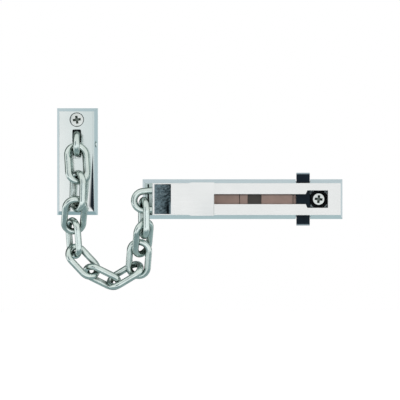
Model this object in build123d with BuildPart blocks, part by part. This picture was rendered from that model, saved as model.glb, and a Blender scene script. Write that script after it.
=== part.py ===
import math
import os

from build123d import *

# Door chain set, in mm. X runs along the rail, Z is up and the door lies at y = 0.
# Everything that is seen stands in front of the door, at negative y.

os.makedirs("parts", exist_ok=True)

# Plates
plate_depth = 10.0
band_height = 4.0
rail_length = 116.6
rail_width = 23.2
rail_side_bevel = 2.35
rail_end_bevel = 1.5
jamb_width = 23.7
jamb_height = 62.3
jamb_side_bevel = 1.75
jamb_end_bevel = 2.15
jamb_to_slider = 43.9
jamb_rise = 21.9
anchor_rise = 10.0

# Rail openings
face_wall = 2.0
end_wall = 3.0
cavity_width = 16.8
slot_width = 5.8
key_width = 10.1
key_length = 12.9
key_from_end = 8.9
key_taper = 1.0
groove_ahead = 2.4
groove_width = 0.8
groove_depth = 0.6
base_thickness = 1.2
base_rim = 1.4
strip_height = 4.1
strip_width = 9.0

# Slider
slider_length = 35.7
slider_from_end = 5.9
slider_height = 13.8
slider_width = 19.1
slider_nose_width = 17.2
lip_length = 1.4
ramp_length = 9.6
ramp_rise = 2.8
neck_length = 9.0
head_length = 11.0
head_width = 9.5
head_thickness = 2.0

# Lock bar
bar_width = 7.7
bar_into_key = 2.5
bar_length = 30.7
bar_thickness = 2.2
bar_travel = 2.4

# Chain
wire = 3.6
link_length = 24.2
link_width = 14.5
wire_sides = 12
bend_steps = 8
pin_radius = 1.75
pin_bite = 5.0
first_link_shift = 0.35
first_link_yaw = 2.5
rivet_radius = 1.5
ring_overhang = 12.1
ring_rise = 5.6
ring_lean = 5.0

# Screws
screw_radius = 2.0
screw_neck = 1.7
screw_reach = 20.0
jamb_screw_spacing = 48.4
jamb_screw_head = 4.15
screw_to_key_end = 5.0
rail_screw_head = 3.75
rail_screw_head_height = 2.2

# Clearances
slide_gap = 0.2
head_gap = 0.3
notch_gap = 0.3
link_gap = 0.5
pocket_gap = 0.7
hole_gap = 0.2
seat_gap = 0.04
touch_gap = 0.12
spring_gap = 0.1

# Places that follow from the sizes
rail_left = -rail_length / 2
slider_left = rail_left + slider_from_end
slider_right = slider_left + slider_length
key_right = rail_length / 2 - key_from_end
key_left = key_right - key_length
bar_x = key_left + bar_into_key - bar_width / 2
ring_out = plate_depth + ring_rise + wire / 2
ring_z = -0.5
jamb_x = slider_left - jamb_to_slider
anchor_z = jamb_rise + anchor_rise
rail_screw_x = key_right - screw_to_key_end
cavity_depth = plate_depth - face_wall
front = Plane.XZ

# Jamb plate: one casting with bevelled edges, a blind slot for the first link and a cross hole
# drilled from the right side for the pin that holds it
slot_across = wire + 1.4
slot_tall = link_width + 2.3
slot_floor = 1.0
anchor_back = slot_floor + link_gap
pin_out = anchor_back + wire + pin_radius + touch_gap
pin_left = jamb_x - slot_across / 2 - pin_bite
pin_right = jamb_x + jamb_width / 2 - 1.8
with BuildPart() as jamb_plate:
    with BuildSketch(front):
        with Locations((jamb_x, jamb_rise)):
            Rectangle(jamb_width, jamb_height)
    extrude(amount=band_height)
    with BuildSketch(front.offset(band_height)):
        with Locations((jamb_x, jamb_rise)):
            Rectangle(jamb_width, jamb_height)
    with BuildSketch(front.offset(plate_depth)):
        with Locations((jamb_x, jamb_rise)):
            Rectangle(jamb_width - 2 * jamb_side_bevel, jamb_height - 2 * jamb_end_bevel)
    loft()
    with BuildSketch(front.offset(slot_floor)):
        with Locations((jamb_x, anchor_z + 0.1)):
            RectangleRounded(slot_across, slot_tall, 0.8)
    extrude(amount=plate_depth - slot_floor, mode=Mode.SUBTRACT)
    with BuildSketch(Plane(origin=(pin_left, -pin_out, anchor_z), z_dir=(1, 0, 0))):
        Circle(pin_radius + seat_gap)
    extrude(amount=jamb_width, mode=Mode.SUBTRACT)
    with Locations(front.offset(plate_depth)):
        with Locations(
            (jamb_x, jamb_rise + jamb_screw_spacing / 2),
            (jamb_x, jamb_rise - jamb_screw_spacing / 2),
        ):
            CounterSinkHole(
                screw_radius + hole_gap,
                jamb_screw_head + seat_gap,
                depth=plate_depth,
                counter_sink_angle=90,
            )
jamb_plate.part.label = "jamb_plate"
export_step(jamb_plate.part, "parts/jamb_plate.step")

# Jamb screws: two countersunk cross-head screws, sunk a little below the face
sunk = 0.25
with BuildPart() as jamb_screws:
    for side in (1, -1):
        z = jamb_rise + side * jamb_screw_spacing / 2
        with BuildSketch(Plane(origin=(jamb_x, 0, z), x_dir=(1, 0, 0), z_dir=(0, 0, 1))):
            with BuildLine():
                Polyline(
                    (0, -plate_depth + sunk),
                    (jamb_screw_head - sunk - 0.25, -plate_depth + sunk),
                    (jamb_screw_head - sunk - 0.1, -plate_depth + sunk + 0.1),
                    (screw_neck, -plate_depth + jamb_screw_head - screw_neck),
                    (screw_neck, hole_gap),
                    (screw_radius, hole_gap),
                    (screw_radius, screw_reach - 3),
                    (0.3, screw_reach),
                    (0, screw_reach),
                    close=True,
                )
            make_face()
        revolve(axis=Axis((jamb_x, 0, z), (0, 1, 0)))
        with BuildSketch(front.offset(plate_depth)):
            with Locations((jamb_x, z)):
                Rectangle(4.6, 1.1)
                Rectangle(1.1, 4.6)
        extrude(amount=-1.5, taper=14, mode=Mode.SUBTRACT)
jamb_screws.part.label = "jamb_screws"
export_step(jamb_screws.part, "parts/jamb_screws.step")

# Anchor pin: a plain steel pin across the slot, driven in from the side and sunk below the bevel
with BuildPart() as anchor_pin:
    with BuildSketch(Plane(origin=(pin_left, -pin_out, anchor_z), z_dir=(1, 0, 0))):
        Circle(pin_radius)
    extrude(amount=pin_right - pin_left)
    chamfer(anchor_pin.edges(), 0.3)
anchor_pin.part.label = "anchor_pin"
export_step(anchor_pin.part, "parts/anchor_pin.step")

# Rail cover: a cast shell, open at the back, with slot, keyhole, screw access and bar notches,
# and a shallow groove across its face ahead of the slider's nose
base_length = rail_length - 2 * base_rim - 0.6
base_width = rail_width - 2 * base_rim + 0.4
slot_left = slider_right - 0.5 - (head_length + neck_length) / 2 - head_gap
with BuildPart() as rail_cover:
    with BuildSketch(front):
        Rectangle(rail_length, rail_width)
    extrude(amount=band_height)
    with BuildSketch(front.offset(band_height)):
        Rectangle(rail_length, rail_width)
    with BuildSketch(front.offset(plate_depth)):
        Rectangle(rail_length - 2 * rail_end_bevel, rail_width - 2 * rail_side_bevel)
    loft()
    with BuildSketch(front):
        Rectangle(rail_length - 2 * end_wall, cavity_width)
    extrude(amount=cavity_depth, mode=Mode.SUBTRACT)
    with BuildSketch(front):
        Rectangle(base_length, base_width)
    extrude(amount=base_thickness, mode=Mode.SUBTRACT)
    with BuildSketch(front):
        with BuildLine():
            Polyline(
                (slot_left, -slot_width / 2),
                (key_left, -slot_width / 2),
                (key_left + key_taper, -key_width / 2),
                (key_right, -key_width / 2),
                (key_right, key_width / 2),
                (key_left + key_taper, key_width / 2),
                (key_left, slot_width / 2),
                (slot_left, slot_width / 2),
                close=True,
            )
        make_face()
        with Locations((-rail_screw_x, 0)):
            Circle(rail_screw_head + 3 * hole_gap)
    extrude(amount=plate_depth, mode=Mode.SUBTRACT)
    with BuildSketch(front):
        with Locations((bar_x, 0)):
            Rectangle(bar_width + 2 * notch_gap, rail_width + 2)
    extrude(amount=cavity_depth, mode=Mode.SUBTRACT)
    with BuildSketch(front.offset(plate_depth)):
        with Locations((slider_left - groove_ahead, 0)):
            Rectangle(groove_width, slider_nose_width)
    extrude(amount=-groove_depth, mode=Mode.SUBTRACT)
rail_cover.part.label = "rail_cover"
export_step(rail_cover.part, "parts/rail_cover.step")

# Rail base: a stamped plate pressed into the back of the cover
with BuildPart() as rail_base:
    with BuildSketch(front):
        Rectangle(base_length, base_width)
        with Locations((rail_screw_x, 0), (-rail_screw_x, 0)):
            Circle(screw_radius + hole_gap, mode=Mode.SUBTRACT)
    extrude(amount=base_thickness)
rail_base.part.label = "rail_base"
export_step(rail_base.part, "parts/rail_base.step")

# Guide strip: a moulded strip on the base that the slider's head runs over, seen as the slot's floor
strip_left = slot_left - 2.0
strip_right = bar_x - bar_width / 2 - notch_gap
recess_length = 8.1
recess_depth = 1.0
recess_x = (slider_right + strip_right) / 2 - 0.2
strip_groove = 0.4
with BuildPart() as guide_strip:
    with BuildSketch(front.offset(base_thickness)):
        with Locations(((strip_left + strip_right) / 2, 0)):
            RectangleRounded(strip_right - strip_left, strip_width, 1.0)
    extrude(amount=strip_height)
    with BuildSketch(front.offset(base_thickness + strip_height)):
        with Locations((recess_x, 0)):
            Rectangle(recess_length, strip_width)
        with Locations((recess_x - recess_length - 0.6, 0), (strip_right - 1.6, 0)):
            Rectangle(strip_groove, strip_width)
    extrude(amount=-recess_depth, mode=Mode.SUBTRACT)
guide_strip.part.label = "guide_strip"
export_step(guide_strip.part, "parts/guide_strip.step")

# Screw pad: a square plastic pad under the keyhole, with a round well for the screw head
pad_length = 2 * (key_right - rail_screw_x) + 0.2
pad_height = rail_screw_head_height + 1.2
with BuildPart() as screw_pad:
    with BuildSketch(front.offset(base_thickness)):
        with Locations((rail_screw_x, 0)):
            RectangleRounded(pad_length, key_width - 0.2, 0.8)
            Circle(screw_radius + hole_gap, mode=Mode.SUBTRACT)
    extrude(amount=pad_height)
    with BuildSketch(front.offset(base_thickness + pad_height)):
        with Locations((rail_screw_x, 0)):
            Circle(rail_screw_head + hole_gap)
    extrude(amount=1.0 - pad_height, mode=Mode.SUBTRACT)
    chamfer(screw_pad.edges().group_by(Axis.Y)[0], 0.3)
screw_pad.part.label = "screw_pad"
export_step(screw_pad.part, "parts/screw_pad.step")

# Rail screws: two pan-head cross screws, one in the pad and one on the base under the slider
with BuildPart() as rail_screws:
    for x, seat in ((rail_screw_x, base_thickness + 1.0), (-rail_screw_x, base_thickness)):
        top = seat + rail_screw_head_height
        with BuildSketch(Plane(origin=(x, 0, 0), x_dir=(1, 0, 0), z_dir=(0, 0, 1))):
            with BuildLine():
                Polyline(
                    (0, -top),
                    (rail_screw_head * 0.92, -top),
                    (rail_screw_head * 0.98, -top + 0.3),
                    (rail_screw_head, -top + 0.9),
                    (rail_screw_head, -seat),
                    (screw_neck, -seat),
                    (screw_neck, hole_gap),
                    (screw_radius, hole_gap),
                    (screw_radius, screw_reach - 3),
                    (0.3, screw_reach),
                    (0, screw_reach),
                    close=True,
                )
            make_face()
        revolve(axis=Axis((x, 0, 0), (0, 1, 0)))
        with BuildSketch(front.offset(top)):
            with Locations((x, 0)):
                Rectangle(4.0, 1.0)
                Rectangle(1.0, 4.0)
        extrude(amount=-1.3, taper=12, mode=Mode.SUBTRACT)
rail_screws.part.label = "rail_screws"
export_step(rail_screws.part, "parts/rail_screws.step")

# Lock bar: a plastic cross bar whose tabs stick out past both sides, with shoulders inside
bar_front = cavity_depth - slide_gap
bar_back = bar_front - bar_thickness
with BuildPart() as lock_bar:
    with BuildSketch(front.offset(bar_back)):
        with Locations((bar_x, 0)):
            Rectangle(bar_width, bar_length)
        with Locations((bar_x, cavity_width / 2 - 1.6), (bar_x, 1.6 - cavity_width / 2)):
            Rectangle(bar_width + 2 * notch_gap + 1.6, 2.4)
    extrude(amount=bar_thickness)
    chamfer(lock_bar.edges().filter_by(Axis.X).group_by(Axis.Z)[0], 0.7)
    chamfer(lock_bar.edges().filter_by(Axis.X).group_by(Axis.Z)[-1], 0.7)
lock_bar.part.label = "lock_bar"
export_step(lock_bar.part, "parts/lock_bar.step")

# Lock spring: a bowed leaf spring that stands on the base and holds the bar out
spring_top = bar_back - spring_gap
spring_foot = 6.2
leaf = 0.4
with BuildPart() as lock_spring:
    with BuildSketch(Plane(origin=(bar_x, 0, 0), x_dir=(0, 0, 1), z_dir=(1, 0, 0))):
        with BuildLine():
            ThreePointArc(
                (-spring_foot, base_thickness), (0, spring_top), (spring_foot, base_thickness)
            )
            Line((spring_foot, base_thickness), (spring_foot - leaf, base_thickness))
            ThreePointArc(
                (spring_foot - leaf, base_thickness),
                (0, spring_top - leaf),
                (leaf - spring_foot, base_thickness),
            )
            Line((leaf - spring_foot, base_thickness), (-spring_foot, base_thickness))
        make_face()
    extrude(amount=2.5, both=True)
lock_spring.part.label = "lock_spring"
export_step(lock_spring.part, "parts/lock_spring.step")

# Slider: a cast hood with a ramp at its nose, a pocket for the ring and a headed neck in the slot
hood_bottom = plate_depth + slide_gap
hood_top = plate_depth + slider_height
lip_top = hood_top - ramp_rise
head_centre = slider_right - 0.5 - head_length / 2
head_front = cavity_depth - head_gap
pocket_bottom = ring_out - wire / 2 - link_gap
pocket_right = slider_left - ring_overhang + link_length + link_gap
rivet_x = pocket_right - link_gap - wire - rivet_radius - touch_gap
with BuildPart() as slider_body:
    with BuildSketch(front.offset(hood_bottom)):
        with BuildLine():
            Polyline(
                (slider_left, -slider_nose_width / 2),
                (slider_left + 20, -slider_nose_width / 2),
                (slider_left + 22.4, -slider_width / 2),
                (slider_right, -slider_width / 2),
                (slider_right, slider_width / 2),
                (slider_left + 22.4, slider_width / 2),
                (slider_left + 20, slider_nose_width / 2),
                (slider_left, slider_nose_width / 2),
                close=True,
            )
        make_face()
    extrude(amount=hood_top - hood_bottom)
    with BuildSketch(Plane.XY):
        with BuildLine():
            Polyline(
                (slider_left, -hood_bottom),
                (slider_left, -lip_top + 0.5),
                (slider_left + 0.15, -lip_top + 0.15),
                (slider_left + 0.5, -lip_top),
                (slider_left + lip_length, -lip_top),
                (slider_left + lip_length + ramp_length, -hood_top),
                (slider_right - 0.15, -hood_top),
                (slider_right, -hood_top + 0.15),
                (slider_right, -hood_bottom),
                close=True,
            )
        make_face()
    extrude(amount=slider_width, both=True, mode=Mode.INTERSECT)
    with BuildSketch(front.offset(pocket_bottom)):
        with Locations(((slider_left + pocket_right) / 2 - 1, 0)):
            Rectangle(pocket_right - slider_left + 2, link_width + 2 * pocket_gap)
    extrude(amount=wire + 2 * link_gap, mode=Mode.SUBTRACT)
    with BuildSketch(front.offset(hood_bottom)):
        with Locations((rivet_x, 0)):
            Circle(rivet_radius + seat_gap)
    extrude(amount=pocket_bottom + wire + 2 * link_gap + 1.0 - hood_bottom, mode=Mode.SUBTRACT)
    with BuildSketch(front.offset(head_front)):
        with Locations((head_centre, 0)):
            Rectangle(neck_length, slot_width - 2 * slide_gap)
    extrude(amount=hood_bottom - head_front)
    with BuildSketch(front.offset(head_front - head_thickness)):
        with Locations((head_centre, 0)):
            RectangleRounded(head_length, head_width, 0.8)
    extrude(amount=head_thickness)
slider_body.part.label = "slider_body"
export_step(slider_body.part, "parts/slider_body.step")

# Ring rivet: a pin pressed in from below that holds the ring in the slider's pocket
with BuildPart() as ring_rivet:
    with BuildSketch(front.offset(hood_bottom)):
        with Locations((rivet_x, 0)):
            Circle(rivet_radius)
    extrude(amount=pocket_bottom + wire + 2 * link_gap + 1.0 - hood_bottom)
ring_rivet.part.label = "ring_rivet"
export_step(ring_rivet.part, "parts/ring_rivet.step")

# Chain: every link lies as in a hanging chain laid on the door, listed for links of hang_link.
# Across and up from the anchor, out from the door, then heading, tilt to the front and roll.
hang = [
    (0.7, 17.5, -11.4, -86, 8, -22),
    (1.2, 18.2, -27.4, -92, -6, 55),
    (-1.1, 14.1, -41.3, -97, -26, -10),
    (-1.8, 9.0, -54.5, -86, -6, 58),
    (3.5, 8.6, -68.2, -47, -1, -38),
    (14.7, 6.6, -77.1, -26, -2, 50),
    (27.9, 7.9, -76.2, 31, 3, -57),
    (36.0, 9.9, -66.6, 85, 16, -3),
    (38.5, 14.0, -54.5, 84, 27, 48),
    (39.2, 18.0, -42.8, 90, 6, -73),
]
hang_link = 24.2
size = link_length / hang_link
half_line = (link_length - wire) / 2
first_out = anchor_back + link_length / 2
poses = [((jamb_x + first_link_shift, -first_out, anchor_z), 0, 90 - first_link_yaw, 0)]
for across, out, up, heading, tilt, roll in hang:
    centre = (jamb_x + across * size, -out * size, anchor_z + up * size)
    poses.append((centre, heading, tilt, roll))
poses.append(((slider_left - ring_overhang + link_length / 2, -ring_out, ring_z), ring_lean, 0, 0))

# The last link must hook through the ring, so what is missing is shared out along the chain
hook_back = 4.7
hook_out = 0.6
hook_up = -0.15
last = poses[-2]
reach = half_line * math.cos(math.radians(last[2]))
tip_x = last[0][0] + reach * math.cos(math.radians(last[1]))
tip_z = last[0][2] + reach * math.sin(math.radians(last[1]))
short_x = slider_left - hook_back - tip_x
short_y = -ring_out - hook_out - last[0][1]
short_z = ring_z + hook_up - tip_z

bend_radius = (link_width - wire) / 2
half_straight = (link_length - link_width) / 2
flat_radius = wire / 2 * 1.02
for number, (centre, heading, tilt, roll) in enumerate(poses, 1):
    share = (number - 1) / 10 if number < 12 else 0
    place = Vector(
        centre[0] + share * short_x, centre[1] + share * short_y, centre[2] + share * short_z
    )
    h = math.radians(heading)
    t = math.radians(tilt)
    r = math.radians(roll)
    along = Vector(math.cos(h) * math.cos(t), -math.sin(t), math.sin(h) * math.cos(t))
    aside = Vector(-math.sin(h), 0, math.cos(h))
    across = aside * math.cos(r) + along.cross(aside) * math.sin(r)
    lie = Plane(origin=place, x_dir=along, z_dir=along.cross(across))
    turns = [math.pi * step / bend_steps - math.pi / 2 for step in range(bend_steps + 1)]
    with BuildPart() as link:
        with BuildLine(lie):
            Polyline(
                (0, -bend_radius),
                *[
                    (half_straight + bend_radius * math.cos(a), bend_radius * math.sin(a))
                    for a in turns
                ],
                (0, bend_radius),
            )
        with BuildSketch(Plane(origin=place - across * bend_radius, x_dir=across, z_dir=along)):
            RegularPolygon(flat_radius, wire_sides)
        sweep(transition=Transition.RIGHT)
        mirror(about=Plane(origin=place, x_dir=across, z_dir=along))
    name = f"link_{number:02d}" if number < 12 else "slider_ring"
    link.part.label = name
    export_step(link.part, f"parts/{name}.step")
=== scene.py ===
import math

import bmesh
import bpy
from mathutils import Matrix, Vector


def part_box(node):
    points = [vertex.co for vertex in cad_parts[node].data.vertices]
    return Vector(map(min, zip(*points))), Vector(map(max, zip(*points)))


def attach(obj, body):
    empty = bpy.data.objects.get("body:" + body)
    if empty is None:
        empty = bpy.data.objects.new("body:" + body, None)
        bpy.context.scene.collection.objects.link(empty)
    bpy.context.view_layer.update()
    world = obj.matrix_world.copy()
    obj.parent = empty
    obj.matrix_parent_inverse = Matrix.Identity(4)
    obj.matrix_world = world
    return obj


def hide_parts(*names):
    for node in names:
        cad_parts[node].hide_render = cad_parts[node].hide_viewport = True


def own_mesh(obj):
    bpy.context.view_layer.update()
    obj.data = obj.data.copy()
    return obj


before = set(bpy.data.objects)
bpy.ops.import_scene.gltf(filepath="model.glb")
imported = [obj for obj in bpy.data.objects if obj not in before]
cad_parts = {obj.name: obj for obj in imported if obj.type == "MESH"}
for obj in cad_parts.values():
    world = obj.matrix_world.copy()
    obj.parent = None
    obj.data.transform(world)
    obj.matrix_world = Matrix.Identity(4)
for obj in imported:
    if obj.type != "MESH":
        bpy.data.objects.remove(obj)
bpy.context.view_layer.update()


# Jamb plate: a solid zinc casting with ground bevels, polished and nickel-plated.
# It is screwed to the door frame and carries the fixed end of the chain in its slot.
# The slot and the screw seats are painted near-black as shade.
def start_finish(name):
    finish = bpy.data.materials.new(name)
    finish.use_nodes = True
    tree = finish.node_tree
    return finish, tree, tree.nodes["Principled BSDF"]


def reckon(tree, kind, *values):
    node = tree.nodes.new("ShaderNodeMath")
    node.operation = kind
    for socket, value in zip(node.inputs, values):
        if isinstance(value, (int, float)):
            socket.default_value = value
        else:
            tree.links.new(value, socket)
    return node.outputs[0]


def place_of(tree):
    where = tree.nodes.new("ShaderNodeTexCoord")
    split = tree.nodes.new("ShaderNodeSeparateXYZ")
    tree.links.new(where.outputs["Object"], split.inputs["Vector"])
    return split.outputs


def inside(tree, low, high):
    mask = 1.0
    for place, start, end in zip(place_of(tree), low, high):
        off = reckon(tree, "ABSOLUTE", reckon(tree, "SUBTRACT", place, (start + end) / 2))
        mask = reckon(tree, "MULTIPLY", mask, reckon(tree, "LESS_THAN", off, (end - start) / 2))
    return mask


def rise(tree, value, start, end):
    spread = tree.nodes.new("ShaderNodeMapRange")
    spread.inputs["From Min"].default_value = start
    spread.inputs["From Max"].default_value = end
    tree.links.new(value, spread.inputs["Value"])
    return spread.outputs["Result"]


def add_grain(tree, scale, stretch=(1, 1, 1), detail=3.0):
    where = tree.nodes.new("ShaderNodeTexCoord")
    lay = tree.nodes.new("ShaderNodeMapping")
    grain = tree.nodes.new("ShaderNodeTexNoise")
    lay.inputs["Scale"].default_value = stretch
    grain.inputs["Scale"].default_value = scale
    grain.inputs["Detail"].default_value = detail
    tree.links.new(where.outputs["Object"], lay.inputs["Vector"])
    tree.links.new(lay.outputs["Vector"], grain.inputs["Vector"])
    return grain.outputs["Fac"]


grain_low = 0.3
grain_high = 0.7


def between(tree, grain, low, high):
    spread = tree.nodes.new("ShaderNodeMapRange")
    spread.inputs["From Min"].default_value = grain_low
    spread.inputs["From Max"].default_value = grain_high
    spread.inputs["To Min"].default_value = low
    spread.inputs["To Max"].default_value = high
    tree.links.new(grain, spread.inputs["Value"])
    return spread.outputs["Result"]


def between_colours(tree, grain, low, high):
    ramp = tree.nodes.new("ShaderNodeValToRGB")
    ramp.color_ramp.elements[0].position = grain_low
    ramp.color_ramp.elements[0].color = (*low, 1)
    ramp.color_ramp.elements[1].position = grain_high
    ramp.color_ramp.elements[1].color = (*high, 1)
    tree.links.new(grain, ramp.inputs["Fac"])
    return ramp.outputs["Color"]


def tint(tree, socket, mask, colour):
    mix = tree.nodes.new("ShaderNodeMix")
    mix.data_type = "RGBA"
    tree.links.new(mask, mix.inputs[0])
    tree.links.new(socket.links[0].from_socket, mix.inputs[6])
    mix.inputs[7].default_value = (*colour, 1)
    tree.links.new(mix.outputs[2], socket)


def roughen(tree, socket, height, depth, edge=None):
    bump = tree.nodes.new("ShaderNodeBump")
    bump.inputs["Distance"].default_value = depth
    tree.links.new(height, bump.inputs["Height"])
    if edge:
        rounding = tree.nodes.new("ShaderNodeBevel")
        rounding.samples = 6
        rounding.inputs["Radius"].default_value = edge
        tree.links.new(rounding.outputs["Normal"], bump.inputs["Normal"])
    elif socket.links:
        tree.links.new(socket.links[0].from_socket, bump.inputs["Normal"])
    tree.links.new(bump.outputs["Normal"], socket)


def plated(name, low, high, smooth, rough, wave, edge):
    finish, tree, shader = start_finish(name)
    clouds = add_grain(tree, 90)
    tree.links.new(between_colours(tree, clouds, low, high), shader.inputs["Base Color"])
    wiped = add_grain(tree, 60, stretch=(1, 4, 14), detail=6.0)
    tree.links.new(between(tree, wiped, smooth, rough), shader.inputs["Roughness"])
    roughen(tree, shader.inputs["Normal"], add_grain(tree, 110, detail=1.0), wave, edge)
    shader.inputs["Metallic"].default_value = 1.0
    return finish, tree, shader


def dress(node, finish):
    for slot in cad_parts[node].material_slots:
        slot.material = finish


# Polishing has drawn the plate's right edge down, more towards the foot; a painted highlight and a
# painted dark reflection go with it.
def draw_edge_down_and_paint_reflection(tree, shader, face, edge, top, foot, widest, fall):
    lean = widest / 7
    narrowest = widest / 50
    foot_slope = 1.2
    face_slack = 0.0002
    x, y, z = place_of(tree)
    x = reckon(tree, "ADD", x, reckon(tree, "MULTIPLY", rise(tree, z, foot, top), lean))
    drop = reckon(tree, "DIVIDE", reckon(tree, "SUBTRACT", top, z), top - foot)
    lift = reckon(tree, "MULTIPLY", reckon(tree, "SUBTRACT", z, foot), foot_slope)
    width = reckon(tree, "MINIMUM", reckon(tree, "MULTIPLY", drop, widest), lift)
    width = reckon(tree, "MAXIMUM", width, narrowest)
    on_face = reckon(tree, "LESS_THAN", y, face + face_slack)
    on_flat = reckon(tree, "MULTIPLY", on_face, reckon(tree, "LESS_THAN", x, edge))
    reach = reckon(tree, "ADD", reckon(tree, "SUBTRACT", x, edge), width)
    reach = reckon(tree, "MINIMUM", reckon(tree, "MAXIMUM", reach, 0.0), width)
    reach = reckon(tree, "MULTIPLY", reach, on_face)
    bow = reckon(tree, "DIVIDE", reckon(tree, "MULTIPLY", reach, reach), width)
    roughen(tree, shader.inputs["Normal"], reckon(tree, "MULTIPLY", bow, -fall / 2), 1.0)
    # A painted highlight lies just inside the dark edge, in its lower part.
    beside = reckon(tree, "DIVIDE", reckon(tree, "SUBTRACT", x, edge - widest), widest)
    bright = reckon(tree, "MULTIPLY", rise(tree, beside, -0.45, 0.1), rise(tree, drop, 0.4, 0.8))
    bright = reckon(tree, "MULTIPLY", bright, on_flat)
    tint(tree, shader.inputs["Base Color"], bright, (0.90, 0.94, 0.94))
    # A painted dark reflection fills the drawn-down edge.
    painted_dark_reflection = rise(tree, reckon(tree, "DIVIDE", reach, width), 0.1, 0.55)
    painted_dark_reflection = reckon(tree, "MULTIPLY", painted_dark_reflection, on_flat)
    tint(tree, shader.inputs["Base Color"], painted_dark_reflection, (0.012, 0.018, 0.025))


jamb_low, jamb_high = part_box("jamb_plate")
pin_low, pin_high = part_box("anchor_pin")
screw_low, screw_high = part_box("jamb_screws")
jamb_across = (jamb_low.x + jamb_high.x) / 2
jamb_face = jamb_low.y
side_bevel = 0.00175
foot_bevel = 0.00213
bevel_back = -0.004
skin = 0.00004
slack = 0.001
anchor_up = (pin_low.z + pin_high.z) / 2
slot_up = anchor_up + 0.0012
slot_half_width = 0.0027
slot_half_height = 0.0074
head_radius = 0.0038
seat_radius = 0.0044
jamb_places = [(jamb_across, screw_high.z - head_radius), (jamb_across, screw_low.z + head_radius)]
jamb_nickel, tree, shader = plated(
    "jamb_nickel",
    (0.77, 0.83, 0.82),
    (0.82, 0.87, 0.86),
    smooth=0.10,
    rough=0.17,
    wave=0.00001,
    edge=0.0002,
)
x, _, z = place_of(tree)
# The face gets painted light towards the foot and painted shade towards the right.
painted_light_to_foot = rise(tree, z, jamb_high.z, jamb_low.z)
tint(tree, shader.inputs["Base Color"], painted_light_to_foot, (0.90, 0.935, 0.925))
painted_shade_to_right = rise(tree, x, jamb_low.x, jamb_high.x)
tint(tree, shader.inputs["Base Color"], painted_shade_to_right, (0.65, 0.745, 0.74))
foot_shade = inside(
    tree,
    (jamb_low.x + slack, jamb_face + 0.0001, jamb_low.z - slack),
    (jamb_high.x - slack, bevel_back, jamb_low.z + foot_bevel),
)
tint(tree, shader.inputs["Base Color"], foot_shade, (0.50, 0.59, 0.60))
draw_edge_down_and_paint_reflection(
    tree,
    shader,
    face=jamb_face,
    edge=jamb_high.x - side_bevel,
    top=0.0275,
    foot=-0.0075,
    widest=0.0046,
    fall=0.8,
)
hollows = [(jamb_across, slot_up, slot_half_width, slot_half_height)]
hollows += [(across, up, seat_radius, seat_radius) for across, up in jamb_places]
# Painted shade: the slot and the screw seats are tinted near-black.
for across, up, half_width, half_height in hollows:
    hollow_painted_shade = inside(
        tree,
        (across - half_width, jamb_face + skin, up - half_height),
        (across + half_width, 0.0, up + half_height),
    )
    tint(tree, shader.inputs["Base Color"], hollow_painted_shade, (0.014, 0.017, 0.019))
dress("jamb_plate", jamb_nickel)


# Jamb screws: countersunk cross-head wood screws of nickel-plated steel that hold the jamb plate.
# The heads are turned blanks with a punched cross, sunk just below the plate's face.
# The thread is rolled on a plain shank.
def to_piece(name, work):
    bmesh.ops.recalc_face_normals(work, faces=work.faces)
    piece = bpy.data.objects.new(name, bpy.data.meshes.new(name))
    work.to_mesh(piece.data)
    work.free()
    bpy.context.collection.objects.link(piece)
    return piece


def turn_blank(name, profile, places, sides=48):
    work = bmesh.new()
    for across, up in places:
        rings = []
        for radius, depth in profile:
            ring = []
            for step in range(sides if radius else 1):
                turn = 2 * math.pi * step / sides
                x = across + radius * math.cos(turn)
                z = up + radius * math.sin(turn)
                ring.append(work.verts.new((x, depth, z)))
            rings.append(ring)
        for first, second in zip(rings, rings[1:]):
            for step in range(sides):
                corners = [
                    first[step % len(first)],
                    first[(step + 1) % len(first)],
                    second[(step + 1) % len(second)],
                    second[step % len(second)],
                ]
                work.faces.new(list(dict.fromkeys(corners)))
    return to_piece(name, work)


def cross_punch(places, top, reach, blade, deep, twist):
    above = 0.0006
    tip_reach = reach * 0.34
    tip_blade = blade * 0.6
    work = bmesh.new()
    for across, up in places:
        for turn in (twist, twist + math.pi / 2):
            rows = []
            for depth, length, width in ((-above, reach, blade), (deep, tip_reach, tip_blade)):
                row = []
                for u, v in ((-length, -width), (length, -width), (length, width), (-length, width)):
                    x = across + u * math.cos(turn) - v * math.sin(turn)
                    z = up + u * math.sin(turn) + v * math.cos(turn)
                    row.append(work.verts.new((x, top + depth, z)))
                rows.append(row)
            work.faces.new(rows[0])
            work.faces.new(rows[1][::-1])
            for step in range(4):
                follow = (step + 1) % 4
                work.faces.new((rows[0][step], rows[1][step], rows[1][follow], rows[0][follow]))
    punch = to_piece("punch", work)
    punch.data.materials.append(recess_shade_steel)
    return punch


def keep_mesh(piece):
    graph = bpy.context.evaluated_depsgraph_get()
    made = bpy.data.meshes.new_from_object(piece.evaluated_get(graph))
    piece.modifiers.clear()
    piece.data = made


def smooth_faces(piece):
    for face in piece.data.polygons:
        face.use_smooth = True
    piece.data.set_sharp_from_angle(angle=math.radians(32))


def punch_heads(piece, punch):
    cut = piece.modifiers.new("punch", "BOOLEAN")
    cut.object = punch
    cut.solver = "EXACT"
    cut.use_self = True
    cut.material_mode = "TRANSFER"
    keep_mesh(piece)
    bpy.data.objects.remove(punch)
    smooth_faces(piece)


def grow_inputs(tree, kinds):
    made = {}
    for name, kind in kinds.items():
        made[name] = tree.interface.new_socket(name=name, in_out="INPUT", socket_type=kind).identifier
    tree.interface.new_socket(name="Geometry", in_out="OUTPUT", socket_type="NodeSocketGeometry")
    return made


def run_tree(name, tree, settings):
    piece = bpy.data.objects.new(name, bpy.data.meshes.new(name))
    bpy.context.collection.objects.link(piece)
    grow = piece.modifiers.new("grow", "NODES")
    grow.node_group = tree
    for key, value in settings.items():
        grow[key] = value
    keep_mesh(piece)
    return piece


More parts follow.
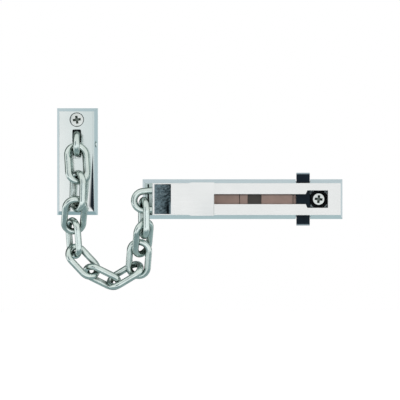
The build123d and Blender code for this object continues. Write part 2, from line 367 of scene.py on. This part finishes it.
def build_thread_tree():
    tree = bpy.data.node_groups.new("screw_thread", "GeometryNodeTree")
    keys = grow_inputs(
        tree,
        {
            "Core Radius": "NodeSocketFloat",
            "Ridge": "NodeSocketFloat",
            "Pitch": "NodeSocketFloat",
            "Turns": "NodeSocketFloat",
            "First Screw": "NodeSocketVector",
            "Second Screw": "NodeSocketVector",
            "Finish": "NodeSocketMaterial",
        },
    )
    add = tree.nodes.new
    tie = tree.links.new
    asked = add("NodeGroupInput")
    helix = add("GeometryNodeCurveSpiral")
    edge = add("GeometryNodeCurvePrimitiveCircle")
    stand = add("GeometryNodeSetCurveNormal")
    ridge = add("GeometryNodeCurveToMesh")
    tip = add("GeometryNodeTransform")
    both = add("GeometryNodeMeshLine")
    spots = add("GeometryNodeInstanceOnPoints")
    solid = add("GeometryNodeRealizeInstances")
    coat = add("GeometryNodeSetMaterial")
    done = add("NodeGroupOutput")
    edge.inputs["Resolution"].default_value = 3
    helix.inputs["Resolution"].default_value = 24
    stand.mode = "Z_UP"
    tip.inputs["Rotation"].default_value = (-math.pi / 2, 0, 0)
    both.mode = "END_POINTS"
    both.count_mode = "TOTAL"
    both.inputs["Count"].default_value = 2
    ridge.inputs["Fill Caps"].default_value = True
    height = reckon(tree, "MULTIPLY", asked.outputs["Pitch"], asked.outputs["Turns"])
    tie(height, helix.inputs["Height"])
    tie(asked.outputs["Core Radius"], helix.inputs["Start Radius"])
    tie(asked.outputs["Core Radius"], helix.inputs["End Radius"])
    tie(asked.outputs["Turns"], helix.inputs["Rotations"])
    tie(asked.outputs["Ridge"], edge.inputs["Radius"])
    tie(helix.outputs["Curve"], stand.inputs["Curve"])
    tie(stand.outputs["Curve"], ridge.inputs["Curve"])
    tie(edge.outputs["Curve"], ridge.inputs["Profile Curve"])
    tie(ridge.outputs["Mesh"], tip.inputs["Geometry"])
    tie(asked.outputs["First Screw"], both.inputs["Start Location"])
    tie(asked.outputs["Second Screw"], both.inputs["Offset"])
    tie(both.outputs["Mesh"], spots.inputs["Points"])
    tie(tip.outputs["Geometry"], spots.inputs["Instance"])
    tie(spots.outputs["Instances"], solid.inputs["Geometry"])
    tie(solid.outputs["Geometry"], coat.inputs["Geometry"])
    tie(asked.outputs["Finish"], coat.inputs["Material"])
    tie(coat.outputs["Geometry"], done.inputs["Geometry"])
    return tree, keys


thread_start = 0.0006


def cut_thread(name, first, second):
    thread = run_tree(
        name,
        thread_tree,
        {
            thread_keys["Core Radius"]: 0.0015,
            thread_keys["Ridge"]: 0.00045,
            thread_keys["Pitch"]: 0.0013,
            thread_keys["Turns"]: 12.0,
            thread_keys["First Screw"]: (first[0], thread_start, first[1]),
            thread_keys["Second Screw"]: (second[0], thread_start, second[1]),
            thread_keys["Finish"]: screw_steel,
        },
    )
    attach(thread, "mount_set")


shank_radius = 0.0017
core_radius = 0.00145
core_end = 0.0165
point_radius = 0.0003
point_start = 0.0198
point_end = 0.0199


def draw_shank(neck, core_start):
    return [
        (shank_radius, neck),
        (core_radius, core_start),
        (core_radius, core_end),
        (point_radius, point_start),
        (0, point_end),
    ]


screw_steel, _, _ = plated(
    "screw_steel",
    (0.66, 0.71, 0.69),
    (0.76, 0.80, 0.78),
    smooth=0.16,
    rough=0.28,
    wave=0.00003,
    edge=0.00012,
)
# The cross recesses get a dark steel finish as painted shade.
recess_shade_steel, _, _ = plated(
    "recess_shade_steel",
    (0.11, 0.135, 0.12),
    (0.24, 0.28, 0.25),
    smooth=0.4,
    rough=0.6,
    wave=0.00003,
    edge=0.00005,
)
thread_tree, thread_keys = build_thread_tree()
head_top = screw_low.y
cone_depth = 0.0022
jamb_blank = turn_blank(
    "jamb_screw_blanks",
    [
        (0, head_top),
        (head_radius - 0.0004, head_top),
        (head_radius - 0.0001, head_top + 0.00003),
        (head_radius, head_top + 0.0001),
        (shank_radius, head_top + cone_depth),
        *draw_shank(neck=-0.0005, core_start=0.0),
    ],
    jamb_places,
)
jamb_blank.data.materials.append(screw_steel)
jamb_punch = cross_punch(jamb_places, head_top, reach=0.0028, blade=0.00078, deep=0.0017, twist=0.14)
punch_heads(jamb_blank, jamb_punch)
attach(jamb_blank, "mount_set")
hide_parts("jamb_screws")
cut_thread("jamb_screw_threads", *jamb_places)


# Anchor pin: a short ground steel pin across the slot, driven in from the plate's right side.
# The first link hangs on it.
pin_steel, _, _ = plated(
    "pin_steel",
    (0.50, 0.51, 0.51),
    (0.64, 0.65, 0.64),
    smooth=0.2,
    rough=0.3,
    wave=0.00002,
    edge=0.0002,
)
dress("anchor_pin", pin_steel)


# Chain: welded links of bent steel wire, tumbled bright and nickel-plated, with painted shade inside
# the bends.
# Each link hangs in the one before it and has a small weld bead on one leg.
# The last one, the ring, is held in the slider.
def build_link_tree():
    weld_at = 0.09
    weld_reach = 0.025
    leg_share = 0.8
    tree = bpy.data.node_groups.new("chain_link", "GeometryNodeTree")
    keys = grow_inputs(
        tree,
        {
            "Wire": "NodeSocketFloat",
            "Length": "NodeSocketFloat",
            "Width": "NodeSocketFloat",
            "Weld": "NodeSocketFloat",
            "Place": "NodeSocketVector",
            "Turn": "NodeSocketVector",
            "Finish": "NodeSocketMaterial",
        },
    )
    add = tree.nodes.new
    tie = tree.links.new
    asked = add("NodeGroupInput")
    loop = add("GeometryNodeCurvePrimitiveQuadrilateral")
    bend = add("GeometryNodeFilletCurve")
    even = add("GeometryNodeResampleCurve")
    along = add("GeometryNodeSplineParameter")
    bead = add("GeometryNodeSetCurveRadius")
    size = add("GeometryNodeInputRadius")
    wire = add("GeometryNodeCurvePrimitiveCircle")
    solid = add("GeometryNodeCurveToMesh")
    smooth = add("GeometryNodeSetShadeSmooth")
    where = add("GeometryNodeInputPosition")
    split = add("ShaderNodeSeparateXYZ")
    mark = add("GeometryNodeStoreNamedAttribute")
    hang = add("GeometryNodeTransform")
    real = add("GeometryNodeRealizeInstances")
    coat = add("GeometryNodeSetMaterial")
    done = add("NodeGroupOutput")
    mid_length = reckon(tree, "SUBTRACT", asked.outputs["Length"], asked.outputs["Wire"])
    mid_width = reckon(tree, "SUBTRACT", asked.outputs["Width"], asked.outputs["Wire"])
    tie(mid_length, loop.inputs["Width"])
    tie(mid_width, loop.inputs["Height"])
    bend.mode = "POLY"
    bend.inputs["Count"].default_value = 24
    bend.inputs["Limit Radius"].default_value = True
    tie(loop.outputs["Curve"], bend.inputs["Curve"])
    tie(reckon(tree, "MULTIPLY", mid_width, 0.4999), bend.inputs["Radius"])
    even.inputs["Count"].default_value = 140
    tie(bend.outputs["Curve"], even.inputs["Curve"])
    from_weld = reckon(tree, "ABSOLUTE", reckon(tree, "SUBTRACT", along.outputs["Factor"], weld_at))
    near_weld = reckon(tree, "SUBTRACT", 1.0, reckon(tree, "DIVIDE", from_weld, weld_reach))
    swell = reckon(tree, "MULTIPLY", reckon(tree, "MAXIMUM", near_weld, 0.0), asked.outputs["Weld"])
    tie(even.outputs["Curve"], bead.inputs["Curve"])
    tie(reckon(tree, "ADD", 1.0, swell), bead.inputs["Radius"])
    wire.inputs["Resolution"].default_value = 28
    tie(reckon(tree, "MULTIPLY", asked.outputs["Wire"], 0.5), wire.inputs["Radius"])
    tie(bead.outputs["Curve"], solid.inputs["Curve"])
    tie(wire.outputs["Curve"], solid.inputs["Profile Curve"])
    tie(size.outputs["Radius"], solid.inputs["Scale"])
    tie(solid.outputs["Mesh"], smooth.inputs["Geometry"])
    tie(where.outputs["Position"], split.inputs["Vector"])
    half_run = reckon(tree, "MULTIPLY", reckon(tree, "SUBTRACT", mid_length, mid_width), 0.5)
    half_width = reckon(tree, "MULTIPLY", mid_width, 0.5)
    from_middle = reckon(tree, "ABSOLUTE", split.outputs["X"])
    past_run = reckon(tree, "MAXIMUM", reckon(tree, "SUBTRACT", from_middle, half_run), 0.0)
    squares = reckon(tree, "MULTIPLY", past_run, past_run)
    squares = reckon(tree, "MULTIPLY_ADD", split.outputs["Y"], split.outputs["Y"], squares)
    outward = reckon(tree, "SUBTRACT", reckon(tree, "SQRT", squares), half_width)
    inward = reckon(tree, "SUBTRACT", 0.5, reckon(tree, "DIVIDE", outward, asked.outputs["Wire"]))
    in_bend = reckon(tree, "MINIMUM", reckon(tree, "DIVIDE", from_middle, half_run), 1.0)
    weight = reckon(tree, "MULTIPLY_ADD", in_bend, 1 - leg_share, leg_share)
    mark.domain = "POINT"
    mark.data_type = "FLOAT"
    mark.inputs["Name"].default_value = "inward"
    tie(reckon(tree, "MULTIPLY", inward, weight), mark.inputs["Value"])
    tie(smooth.outputs["Geometry"], mark.inputs["Geometry"])
    tie(mark.outputs["Geometry"], hang.inputs["Geometry"])
    tie(asked.outputs["Place"], hang.inputs["Translation"])
    tie(asked.outputs["Turn"], hang.inputs["Rotation"])
    tie(hang.outputs["Geometry"], real.inputs["Geometry"])
    tie(real.outputs["Geometry"], coat.inputs["Geometry"])
    tie(asked.outputs["Finish"], coat.inputs["Material"])
    tie(coat.outputs["Geometry"], done.inputs["Geometry"])
    return tree, keys


def tumbled_wire(name):
    finish, tree, shader = start_finish(name)
    clouds = add_grain(tree, 230, detail=4.0)
    colour = between_colours(tree, clouds, (0.58, 0.665, 0.635), (0.715, 0.805, 0.77))
    tree.links.new(colour, shader.inputs["Base Color"])
    bends = tree.nodes.new("ShaderNodeAttribute")
    bends.attribute_name = "inward"
    # Painted shade darkens the inner sides of the bends.
    bend_painted_shade = rise(tree, bends.outputs["Fac"], 0.74, 1.0)
    tint(tree, shader.inputs["Base Color"], bend_painted_shade, (0.10, 0.12, 0.105))
    wear_and_painted_glint = add_grain(tree, 500, detail=5.0)
    tree.links.new(between(tree, wear_and_painted_glint, 0.16, 0.24), shader.inputs["Roughness"])
    roughen(tree, shader.inputs["Normal"], add_grain(tree, 210, detail=1.5), 0.00004)
    shader.inputs["Metallic"].default_value = 1.0
    shader.inputs["Specular Tint"].default_value = (0.10, 0.12, 0.10, 1)
    return finish


chain_nickel = tumbled_wire("chain_nickel")
link_tree, link_keys = build_link_tree()


def hang_link(node, body, heading, tilt, roll):
    low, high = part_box(node)
    h, t, r = (math.radians(angle) for angle in (heading, tilt, roll))
    along = Vector((math.cos(h) * math.cos(t), -math.sin(t), math.sin(h) * math.cos(t)))
    aside = Vector((-math.sin(h), 0, math.cos(h)))
    across = aside * math.cos(r) + along.cross(aside) * math.sin(r)
    facing = Matrix((along, across, along.cross(across))).transposed()
    link = run_tree(
        node + "_wire",
        link_tree,
        {
            link_keys["Wire"]: 0.0038,
            link_keys["Length"]: 0.0244,
            link_keys["Width"]: 0.0147,
            link_keys["Weld"]: 0.05,
            link_keys["Place"]: (low + high) / 2,
            link_keys["Turn"]: facing.to_euler(),
            link_keys["Finish"]: chain_nickel,
        },
    )
    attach(link, body)
    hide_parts(node)


hang_link("link_01", "mount_set", 0, 87.5, 0)
hang_link("link_02", "link_02", -86, 8, -22)
hang_link("link_03", "link_03", -92, -6, 55)
hang_link("link_04", "link_04", -97, -26, -10)
hang_link("link_05", "link_05", -86, -6, 58)
hang_link("link_06", "link_06", -47, -1, -38)
hang_link("link_07", "link_07", -26, -2, 50)
hang_link("link_08", "link_08", 31, 3, -57)
hang_link("link_09", "link_09", 85, 16, -3)
hang_link("link_10", "link_10", 84, 27, 48)
hang_link("link_11", "link_11", 90, 6, -73)
hang_link("slider_ring", "slider", 5, 0, 0)


# Rail base: a stamped and zinc-plated steel plate, pressed into the rail from behind.
# The rail screws go through it.
base_zinc, _, _ = plated(
    "base_zinc",
    (0.46, 0.48, 0.50),
    (0.6, 0.62, 0.63),
    smooth=0.3,
    rough=0.5,
    wave=0.00003,
    edge=0.0002,
)
dress("rail_base", base_zinc)


# Guide strip: a moulded brown plastic strip that lies on the base as the floor of the slot.
# The slider's head runs over it, and a shallow recess and two grooves cross it.
# Painted shade darkens it along the edges of the slot, more at the top.
def moulded(name, low, high, smooth, rough, shine, edge):
    finish, tree, shader = start_finish(name)
    flow = add_grain(tree, 160, detail=4.0)
    tree.links.new(between_colours(tree, flow, low, high), shader.inputs["Base Color"])
    tree.links.new(between(tree, flow, smooth, rough), shader.inputs["Roughness"])
    shader.inputs["Specular IOR Level"].default_value = shine
    roughen(tree, shader.inputs["Normal"], add_grain(tree, 2600, detail=2.0), 0.00002, edge)
    return finish, tree, shader


strip_low, strip_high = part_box("guide_strip")
recess_start = strip_low.y + 0.0002
brown, tree, shader = moulded(
    "brown_plastic",
    (0.515, 0.36, 0.305),
    (0.61, 0.43, 0.37),
    smooth=0.45,
    rough=0.6,
    shine=0.3,
    edge=0.0001,
)
# Painted shade darkens the recess and the two grooves.
recess_painted_shade = inside(tree, (strip_low.x, recess_start, strip_low.z), strip_high)
tint(tree, shader.inputs["Base Color"], recess_painted_shade, (0.13, 0.117, 0.105))
up = place_of(tree)[2]
# Painted shade along the slot's edges, darker at the top.
upper_painted_shade = rise(tree, up, 0.0018, 0.0034)
lower_painted_shade = rise(tree, up, -0.0020, -0.0046)
tint(tree, shader.inputs["Base Color"], upper_painted_shade, (0.035, 0.032, 0.03))
tint(tree, shader.inputs["Base Color"], lower_painted_shade, (0.05, 0.045, 0.042))
dress("guide_strip", brown)


# Lock spring: a bowed leaf of blank spring steel that stands on the base under the lock bar.
# On the real lock it flattens when the bar is pressed and pushes it back out afterwards; here it is
# built bowed and fixed to the mount.
def bow_leaf(name, low, high, leaf, steps=40):
    work = bmesh.new()
    rows = []
    for inset in (0.0, leaf):
        half = (high.z - low.z) / 2 - inset
        height = high.y - low.y - inset
        radius = (half * half + height * height) / (2 * height)
        reach = math.atan2(half, radius - height)
        row = []
        for step in range(steps + 1):
            turn = reach * (2 * step / steps - 1)
            y = high.y - height + radius * (1 - math.cos(turn))
            z = (low.z + high.z) / 2 + radius * math.sin(turn)
            row.append([work.verts.new((x, y, z)) for x in (low.x, high.x)])
        rows.append(row)
    outer, inner = rows
    for row in rows:
        for here, there in zip(row, row[1:]):
            work.faces.new((here[0], here[1], there[1], there[0]))
    for side in (0, 1):
        for step in range(steps):
            upper = (outer[step][side], outer[step + 1][side])
            lower = (inner[step + 1][side], inner[step][side])
            work.faces.new(upper + lower)
    for step in (0, steps):
        work.faces.new((outer[step][0], outer[step][1], inner[step][1], inner[step][0]))
    spring = to_piece(name, work)
    smooth_faces(spring)
    return spring


spring_steel, _, _ = plated(
    "spring_steel",
    (0.46, 0.47, 0.49),
    (0.58, 0.59, 0.6),
    smooth=0.25,
    rough=0.4,
    wave=0.00002,
    edge=0.0001,
)
spring_low, spring_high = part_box("lock_spring")
leaf_thickness = 0.0004
spring_leaf = bow_leaf("lock_spring_leaf", spring_low, spring_high, leaf_thickness)
spring_leaf.data.materials.append(spring_steel)
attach(spring_leaf, "mount_set")
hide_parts("lock_spring")
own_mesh(spring_leaf)


# Lock bar: a moulded black plastic cross bar whose tabs stick out past both sides of the rail.
# It is held by shoulders inside the rail and moves when the tabs are pressed.
# The ends of the tabs are painted pale as a highlight.
bar_low, bar_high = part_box("lock_bar")
highlight_depth = 0.0008
black_bar, tree, shader = moulded(
    "black_bar",
    (0.002, 0.008, 0.015),
    (0.004, 0.012, 0.020),
    smooth=0.35,
    rough=0.5,
    shine=0.13,
    edge=0.0002,
)
middle = inside(
    tree,
    (bar_low.x - slack, bar_low.y - slack, bar_low.z + highlight_depth),
    (bar_high.x + slack, bar_high.y + slack, bar_high.z - highlight_depth),
)
# Painted highlight on the ends of the tabs.
tab_end_painted_highlight = reckon(tree, "SUBTRACT", 1.0, middle)
tint(tree, shader.inputs["Base Color"], tab_end_painted_highlight, (0.26, 0.33, 0.36))
dress("lock_bar", black_bar)


# Screw pad: a square moulded plastic pad under the keyhole with a round well for the screw head.
# The rail screw clamps it to the base, and its corners carry painted glints.
pad_low, pad_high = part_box("screw_pad")
pad_across = (pad_low.x + pad_high.x) / 2
corner_reach = 0.0077
black_pad, tree, shader = moulded(
    "black_pad",
    (0.001, 0.0015, 0.002),
    (0.003, 0.004, 0.005),
    smooth=0.3,
    rough=0.4,
    shine=0.08,
    edge=0.0002,
)
x, _, z = place_of(tree)
aside = reckon(tree, "ABSOLUTE", reckon(tree, "SUBTRACT", x, pad_across))
from_middle = reckon(tree, "ADD", aside, reckon(tree, "ABSOLUTE", z))
corner = reckon(tree, "GREATER_THAN", from_middle, corner_reach)
# Painted glints at the pad's corners.
wear_and_painted_glint = reckon(tree, "MULTIPLY", corner, rise(tree, add_grain(tree, 700), 0.35, 0.55))
tint(tree, shader.inputs["Base Color"], wear_and_painted_glint, (0.44, 0.54, 0.56))
dress("screw_pad", black_pad)


# Rail screws: pan-head cross screws of nickel-plated steel that hold the rail to the door.
# One sits in the pad behind the keyhole and the other on the base, under the slider.
rail_screw_low, rail_screw_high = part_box("rail_screws")
pan_radius = 0.00375
pan_height = 0.0022
left_screw_sunk = 0.001
key_x = rail_screw_high.x - pan_radius
for name, x, top in (
    ("rail_screw_right", key_x, rail_screw_low.y),
    ("rail_screw_left", -key_x, rail_screw_low.y + left_screw_sunk),
):
    seat = top + pan_height
    pan = turn_blank(
        name,
        [
            (0, top),
            (0.0024, top + 0.00001),
            (0.0033, top + 0.00005),
            (0.0036, top + 0.0003),
            (pan_radius, top + 0.0009),
            (pan_radius, seat),
            (shank_radius, seat),
            *draw_shank(neck=-0.0001, core_start=0.0002),
        ],
        [(x, 0.0)],
    )
    pan.data.materials.append(screw_steel)
    pan_punch = cross_punch([(x, 0.0)], top, reach=0.0028, blade=0.0008, deep=0.0016, twist=-0.11)
    punch_heads(pan, pan_punch)
    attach(pan, "mount_set")
    if x > 0:
        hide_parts("rail_screws")
cut_thread("rail_screw_threads", (key_x, 0.0), (-key_x, 0.0))


# Rail cover: a zinc casting with ground bevels, polished and nickel-plated, open at the back.
# The slot guides the slider, and the keyhole lets its head in and out.
# Its left end, beside the slider's nose, is painted darker as shade, more towards the bottom.
rail_low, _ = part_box("rail_cover")
rail_face = rail_low.y
groove_x = rail_low.x + 0.0030
groove_width = 0.0010
groove_half = 0.0088
end_shade_x = rail_low.x + 0.0012
end_shade_width = 0.0047
end_shade_half = 0.0095
rail_nickel, tree, shader = plated(
    "rail_nickel",
    (0.84, 0.86, 0.855),
    (0.87, 0.885, 0.88),
    smooth=0.12,
    rough=0.2,
    wave=0.00001,
    edge=0.0003,
)
# The thin groove near the left end is painted near-black as shade.
groove_painted_shade = inside(
    tree,
    (groove_x, rail_face + skin, -groove_half),
    (groove_x + groove_width, rail_face + slack, groove_half),
)
# Painted shade on the rail's left end, darker towards the bottom.
end_painted_shade = inside(
    tree,
    (end_shade_x, rail_face - slack, -end_shade_half),
    (end_shade_x + end_shade_width, rail_face + skin, end_shade_half),
)
low_end_painted_shade = reckon(tree, "MULTIPLY", end_painted_shade, rise(tree, place_of(tree)[2], 0.003, -0.009))
tint(tree, shader.inputs["Base Color"], end_painted_shade, (0.45, 0.55, 0.535))
tint(tree, shader.inputs["Base Color"], low_end_painted_shade, (0.10, 0.13, 0.125))
tint(tree, shader.inputs["Base Color"], groove_painted_shade, (0.004, 0.005, 0.006))
dress("rail_cover", rail_nickel)


# Slider: a polished and plated casting that runs on the rail, with a ground ramp at its nose.
# The ramp is scratched and darkened in streaks, partly wear and partly painted shade growing to the
# right; low on its right a dark crease is painted as shade beside a bright rim kept as a painted
# highlight.
# A rivet pressed in from below holds the chain's last ring in its pocket.
slider_low, slider_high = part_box("slider_body")
ramp_start = slider_low.x + 0.0014
ramp_end = slider_low.x + 0.011
ramp_depth = 0.0028
rim_x = slider_low.x + 0.0099
rim_blur = 0.0005
crease_x = rim_x - 0.0008
tail_width = 0.0004
tail_top = 0.0025
slider_nickel, tree, shader = plated(
    "slider_nickel",
    (0.85, 0.87, 0.865),
    (0.89, 0.905, 0.9),
    smooth=0.1,
    rough=0.2,
    wave=0.00002,
    edge=0.0002,
)
x, _, z = place_of(tree)
ramp = inside(
    tree,
    (ramp_start, slider_low.y, slider_low.z - slack),
    (ramp_end, slider_low.y + ramp_depth, slider_high.z + slack),
)
low_down = reckon(tree, "MULTIPLY", rise(tree, z, 0.0, -0.004), ramp)
# The rim on the ramp's lower right is left out of the darkening, as a painted highlight.
rim_painted_highlight = reckon(tree, "MULTIPLY", rise(tree, x, rim_x, rim_x + rim_blur), low_down)
# Painted shade grows towards the ramp's right.
rightward_painted_shade = reckon(tree, "MULTIPLY", rise(tree, x, slider_low.x, ramp_end + slack), 0.40)
scratches = add_grain(tree, 900, stretch=(0.6, 1, 1.2), detail=2.0)
scratches_and_painted_shade = rise(tree, reckon(tree, "ADD", scratches, rightward_painted_shade), 0.50, 0.92)
# The ramp is darkened in scratch streaks, partly wear and partly painted shade.
dull = reckon(tree, "MULTIPLY", scratches_and_painted_shade, reckon(tree, "SUBTRACT", ramp, rim_painted_highlight))
tint(tree, shader.inputs["Base Color"], dull, (0.10, 0.115, 0.12))
# A dark crease low on the right is painted as shade.
from_crease = reckon(tree, "ABSOLUTE", reckon(tree, "SUBTRACT", x, crease_x))
crease_painted_shade = reckon(tree, "MULTIPLY", rise(tree, from_crease, 0.0011, 0.0003), low_down)
tint(tree, shader.inputs["Base Color"], crease_painted_shade, (0.02, 0.026, 0.03))
grinding = add_grain(tree, 480, stretch=(0.6, 1, 1.4), detail=3.0)
roughen(tree, shader.inputs["Normal"], reckon(tree, "MULTIPLY", grinding, ramp), 0.00006)
shaded = reckon(
    tree,
    "MULTIPLY",
    rise(tree, x, slider_low.x + 0.018, slider_high.x),
    rise(tree, z, 0.006, slider_low.z),
)
tint(tree, shader.inputs["Base Color"], shaded, (0.77, 0.80, 0.80))
# A thin band at the slider's right end is painted darker as shade, outlining the edge.
tail_painted_shade = inside(
    tree,
    (slider_high.x - tail_width, slider_low.y - slack, slider_low.z - slack),
    (slider_high.x + slack, slider_high.y + slack, tail_top),
)
tint(tree, shader.inputs["Base Color"], tail_painted_shade, (0.66, 0.70, 0.695))
dress("slider_body", slider_nickel)
dress("ring_rivet", pin_steel)


# Studio: a pale floor, a soft lamp above and the white backdrop that the camera sees.
# Round it is a grey room, with a dark card on the left and a grey mat below for the metal to mirror.
def fade_by(tree, value, shades):
    fade = tree.nodes.new("ShaderNodeValToRGB")
    steps = fade.color_ramp.elements
    steps.remove(steps[1])
    steps[0].position = shades[0][0]
    steps[0].color = (*shades[0][1], 1)
    for place, shade in shades[1:]:
        steps.new(place).color = (*shade, 1)
    tree.links.new(value, fade.inputs["Fac"])
    return fade.outputs["Color"]


def build_room():
    world = bpy.data.worlds.new("room")
    bpy.context.scene.world = world
    world.use_nodes = True
    tree = world.node_tree
    tree.nodes.clear()
    where = tree.nodes.new("ShaderNodeTexCoord")
    split = tree.nodes.new("ShaderNodeSeparateXYZ")
    walls = tree.nodes.new("ShaderNodeMix")
    room = tree.nodes.new("ShaderNodeBackground")
    white = tree.nodes.new("ShaderNodeBackground")
    fill = tree.nodes.new("ShaderNodeBackground")
    ray = tree.nodes.new("ShaderNodeLightPath")
    mirrored = tree.nodes.new("ShaderNodeMixShader")
    seen = tree.nodes.new("ShaderNodeMixShader")
    done = tree.nodes.new("ShaderNodeOutputWorld")
    walls.data_type = "RGBA"
    tree.links.new(where.outputs["Generated"], split.inputs["Vector"])
    back = reckon(tree, "MULTIPLY_ADD", split.outputs["Y"], 0.5, 0.5)
    front = [
        (0.06, (0.92, 0.92, 0.92)),
        (0.20, (1.00, 1.01, 0.99)),
    ]
    left = [
        (0.42, (0.95, 0.97, 0.945)),
        (0.54, (0.12, 0.14, 0.13)),
        (0.80, (0.04, 0.05, 0.045)),
    ]
    right = [
        (0.54, (0.96, 0.98, 0.955)),
        (0.68, (0.46, 0.50, 0.48)),
        (0.80, (0.16, 0.18, 0.17)),
    ]
    rear = [
        (0.84, (0.56, 0.66, 0.70)),
        (0.972, (0.60, 0.68, 0.71)),
        (0.980, (0.2, 0.21, 0.21)),
    ]
    backdrop_edge = 0.992
    tree.links.new(rise(tree, split.outputs["X"], -0.35, 0.65), walls.inputs[0])
    tree.links.new(fade_by(tree, back, front + left + rear), walls.inputs[6])
    tree.links.new(fade_by(tree, back, front + right + rear), walls.inputs[7])
    tree.links.new(walls.outputs[2], room.inputs["Color"])
    white.inputs["Color"].default_value = (1, 1, 1, 1)
    fill.inputs["Color"].default_value = (0.78, 0.79, 0.80, 1)
    bright = reckon(tree, "MAXIMUM", ray.outputs["Is Glossy Ray"], ray.outputs["Is Transmission Ray"])
    backdrop = reckon(tree, "MULTIPLY", bright, reckon(tree, "GREATER_THAN", back, backdrop_edge))
    tree.links.new(bright, mirrored.inputs["Fac"])
    tree.links.new(fill.outputs["Background"], mirrored.inputs[1])
    tree.links.new(room.outputs["Background"], mirrored.inputs[2])
    tree.links.new(reckon(tree, "MAXIMUM", ray.outputs["Is Camera Ray"], backdrop), seen.inputs["Fac"])
    tree.links.new(mirrored.outputs["Shader"], seen.inputs[1])
    tree.links.new(white.outputs["Background"], seen.inputs[2])
    tree.links.new(seen.outputs["Shader"], done.inputs["Surface"])


def put_card(name, corners, axis, shades):
    card = bpy.data.objects.new(name, bpy.data.meshes.new(name))
    card.data.from_pydata(corners, [], [(0, 1, 2, 3)])
    dull = bpy.data.materials.new(name)
    dull.use_nodes = True
    tree = dull.node_tree
    tree.nodes.clear()
    where = tree.nodes.new("ShaderNodeTexCoord")
    split = tree.nodes.new("ShaderNodeSeparateXYZ")
    glow = tree.nodes.new("ShaderNodeEmission")
    done = tree.nodes.new("ShaderNodeOutputMaterial")
    tree.links.new(where.outputs["Generated"], split.inputs["Vector"])
    tree.links.new(fade_by(tree, split.outputs[axis], shades), glow.inputs["Color"])
    tree.links.new(glow.outputs["Emission"], done.inputs["Surface"])
    card.data.materials.append(dull)
    card.visible_camera = False
    card.visible_diffuse = False
    card.visible_shadow = False
    bpy.context.collection.objects.link(card)


mat_up = -0.25
floor_up = -0.26
floor_half = 3
build_room()
put_card(
    "left_card",
    [(-0.82, -0.69, -0.35), (-0.42, -0.98, -0.35), (-0.42, -0.98, 0.35), (-0.82, -0.69, 0.35)],
    "Z",
    [(0.40, (0.13, 0.19, 0.22)), (0.60, (0.15, 0.215, 0.245))],
)
put_card(
    "grey_mat",
    [(-0.6, -0.42, mat_up), (0.6, -0.42, mat_up), (0.6, 0.6, mat_up), (-0.6, 0.6, mat_up)],
    "Y",
    [
        (0.0, (0.92, 0.93, 0.93)),
        (0.10, (0.80, 0.84, 0.85)),
        (0.19, (0.22, 0.31, 0.33)),
        (0.40, (0.36, 0.44, 0.44)),
        (0.60, (0.44, 0.57, 0.60)),
    ],
)

floor = bpy.data.objects.new("floor", bpy.data.meshes.new("floor"))
floor.data.from_pydata(
    [
        (-floor_half, -floor_half, floor_up),
        (floor_half, -floor_half, floor_up),
        (floor_half, floor_half, floor_up),
        (-floor_half, floor_half, floor_up),
    ],
    [],
    [(0, 1, 2, 3)],
)
pale, tree, shader = start_finish("pale_floor")
ray = tree.nodes.new("ShaderNodeLightPath")
bright = reckon(tree, "MAXIMUM", ray.outputs["Is Camera Ray"], ray.outputs["Is Glossy Ray"])
bright = reckon(tree, "MAXIMUM", bright, ray.outputs["Is Transmission Ray"])
tree.links.new(reckon(tree, "MULTIPLY", bright, 0.4), shader.inputs["Emission Strength"])
shader.inputs["Emission Color"].default_value = (1, 1, 1, 1)
shader.inputs["Base Color"].default_value = (0.80, 0.81, 0.82, 1)
shader.inputs["Roughness"].default_value = 0.8
floor.data.materials.append(pale)
bpy.context.collection.objects.link(floor)

lamp = bpy.data.objects.new("soft_lamp", bpy.data.lights.new("soft_lamp", "AREA"))
lamp.data.shape = "RECTANGLE"
lamp.data.size = 0.9
lamp.data.size_y = 0.6
lamp.data.energy = 4.0
lamp.location = (-0.3, -0.7, 0.9)
lamp.visible_glossy = False
lamp.rotation_euler = (Vector((0, 0, 0)) - lamp.location).to_track_quat("-Z", "Y").to_euler()
bpy.context.collection.objects.link(lamp)

half_view = 0.116
camera = bpy.data.objects.new("camera", bpy.data.cameras.new("camera"))
camera.location = (-0.0248, -1.010, -0.0005)
camera.rotation_euler = (math.pi / 2, 0, 0)
camera.data.angle = 2 * math.atan(half_view)
bpy.context.collection.objects.link(camera)
bpy.context.scene.camera = camera
bpy.context.scene.view_settings.view_transform = "Standard"
